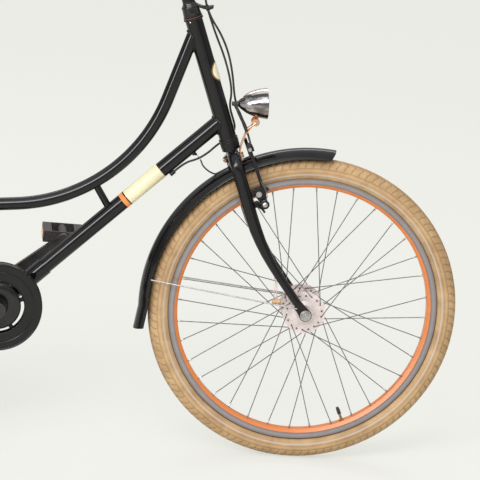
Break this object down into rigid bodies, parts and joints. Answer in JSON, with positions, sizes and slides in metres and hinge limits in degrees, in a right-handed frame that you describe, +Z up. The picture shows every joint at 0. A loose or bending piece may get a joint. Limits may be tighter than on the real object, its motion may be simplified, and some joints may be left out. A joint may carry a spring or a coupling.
{
  "type": "child bicycle",
  "caption": "Child's step-through city bicycle with swooping top tube, full chain case, mudguards, rear carrier, bullet headlamp and two-legged centre stand.",
  "frame": {"origin": "on the floor, in the centre plane, midway between the front of the front tyre and the back of the rear mudguard", "axes": "+X forwards, +Y to the rider's left, +Z up"},
  "size_m": [1.7664, 0.577, 1.1002],
  "materials": {
    "black_metal": "satin black",
    "black_plastic": "satin black",
    "black_rubber": "matt rubber",
    "brass": "plain brass",
    "cable_black": "satin black cable housing",
    "chrome": "polished chrome",
    "crank_black": "satin black",
    "frame_paint": "gloss black enamel",
    "grip_rubber": "brown stitched grip",
    "hub_alloy": "satin silver",
    "lamp_glass": "clear fluted lens",
    "lamp_red": "red lens in a black body",
    "mudguard_paint": "gloss black enamel",
    "pedal_plastic": "ribbed black tread with amber reflectors",
    "rim_alloy": "machined sides, orange inner band",
    "saddle_leather": "brown grained cover",
    "steel": "bright zinc",
    "tyre_rubber": "tan rubber with block tread"
  },
  "bodies": {
    "frame": {"head_tube": "frame_paint", "top_tube": "frame_paint", "down_tube": "frame_paint", "cross_brace": "frame_paint", "bottom_bracket": "frame_paint", "seat_tube": "frame_paint", "chain_stays": "frame_paint", "seat_stays": "frame_paint", "headset_lower_cup": "black_metal", "headset_upper_cup": "black_metal", "seat_post": "chrome", "seat_collar": "black_metal", "saddle_carriage": "chrome", "saddle": "saddle_leather", "rear_mudguard": "mudguard_paint", "rear_mudguard_stays": "steel", "carrier": "black_metal", "rear_lamp": "lamp_red", "chain_case": "frame_paint", "rear_axle": "steel", "stand_bracket": "black_metal", "rear_brake_cable_back": "cable_black", "steering_spring_top": "cable_black"},
    "steering": {"fork": "frame_paint", "headset_cap": "black_metal", "stem": "black_metal", "handlebar": "chrome", "grip_left": "grip_rubber", "grip_right": "grip_rubber", "brake_lever_left": "black_metal", "brake_lever_right": "black_metal", "bell": "chrome", "cable_guide": "black_plastic", "front_mudguard": "mudguard_paint", "front_mudguard_stays": "steel", "headlamp_shell": "chrome", "headlamp_lens": "lamp_glass", "lamp_bracket": "chrome", "crown_bolt": "brass", "brake_arms": "black_metal", "brake_pads": "black_rubber", "front_axle": "steel", "lamp_arm": "black_plastic", "front_brake_cable": "cable_black", "rear_brake_cable_front": "cable_black", "steering_spring_foot": "cable_black"},
    "front_wheel": {"front_tyre": "tyre_rubber", "front_rim": "rim_alloy", "front_spokes": "steel", "front_hub": "hub_alloy"},
    "rear_wheel": {"rear_tyre": "tyre_rubber", "rear_rim": "rim_alloy", "rear_spokes": "steel", "rear_hub": "hub_alloy"},
    "crankset": {"crank_arms": "crank_black", "chainwheel": "black_metal"},
    "left_pedal": {"pedal_left": "pedal_plastic"},
    "right_pedal": {"pedal_right": "pedal_plastic"},
    "stand": {"stand_legs": "black_metal", "stand_feet": "black_rubber"}
  },
  "joints": [
    {"name": "steering_turn", "type": "hinge", "parent": "frame", "child": "steering", "pos_m": [0.31533, 0, 0.79838], "axis": [-0.3697, 0, 0.9291], "range_deg": [-40, 40], "stiffness_Nm_per_rad": 3},
    {"name": "front_wheel_spin", "type": "hinge", "parent": "steering", "child": "front_wheel", "pos_m": [0.55775, 0, 0.3255], "axis": [0, 1, 0], "continuous": true},
    {"name": "rear_wheel_spin", "type": "hinge", "parent": "frame", "child": "rear_wheel", "pos_m": [-0.53725, 0, 0.3255], "axis": [0, 1, 0], "continuous": true},
    {"name": "crank_turn", "type": "hinge", "parent": "frame", "child": "crankset", "pos_m": [-0.08225, 0, 0.298], "axis": [0, 1, 0], "continuous": true},
    {"name": "left_pedal_spin", "type": "hinge", "parent": "crankset", "child": "left_pedal", "pos_m": [0.04982, 0.14, 0.41281], "axis": [0, 1, 0], "continuous": true},
    {"name": "right_pedal_spin", "type": "hinge", "parent": "crankset", "child": "right_pedal", "pos_m": [-0.21432, -0.14, 0.18319], "axis": [0, 1, 0], "continuous": true},
    {"name": "stand_fold", "type": "hinge", "parent": "frame", "child": "stand", "pos_m": [-0.15225, 0, 0.232], "axis": [0, 1, 0], "range_deg": [0, 68]}
  ]
}
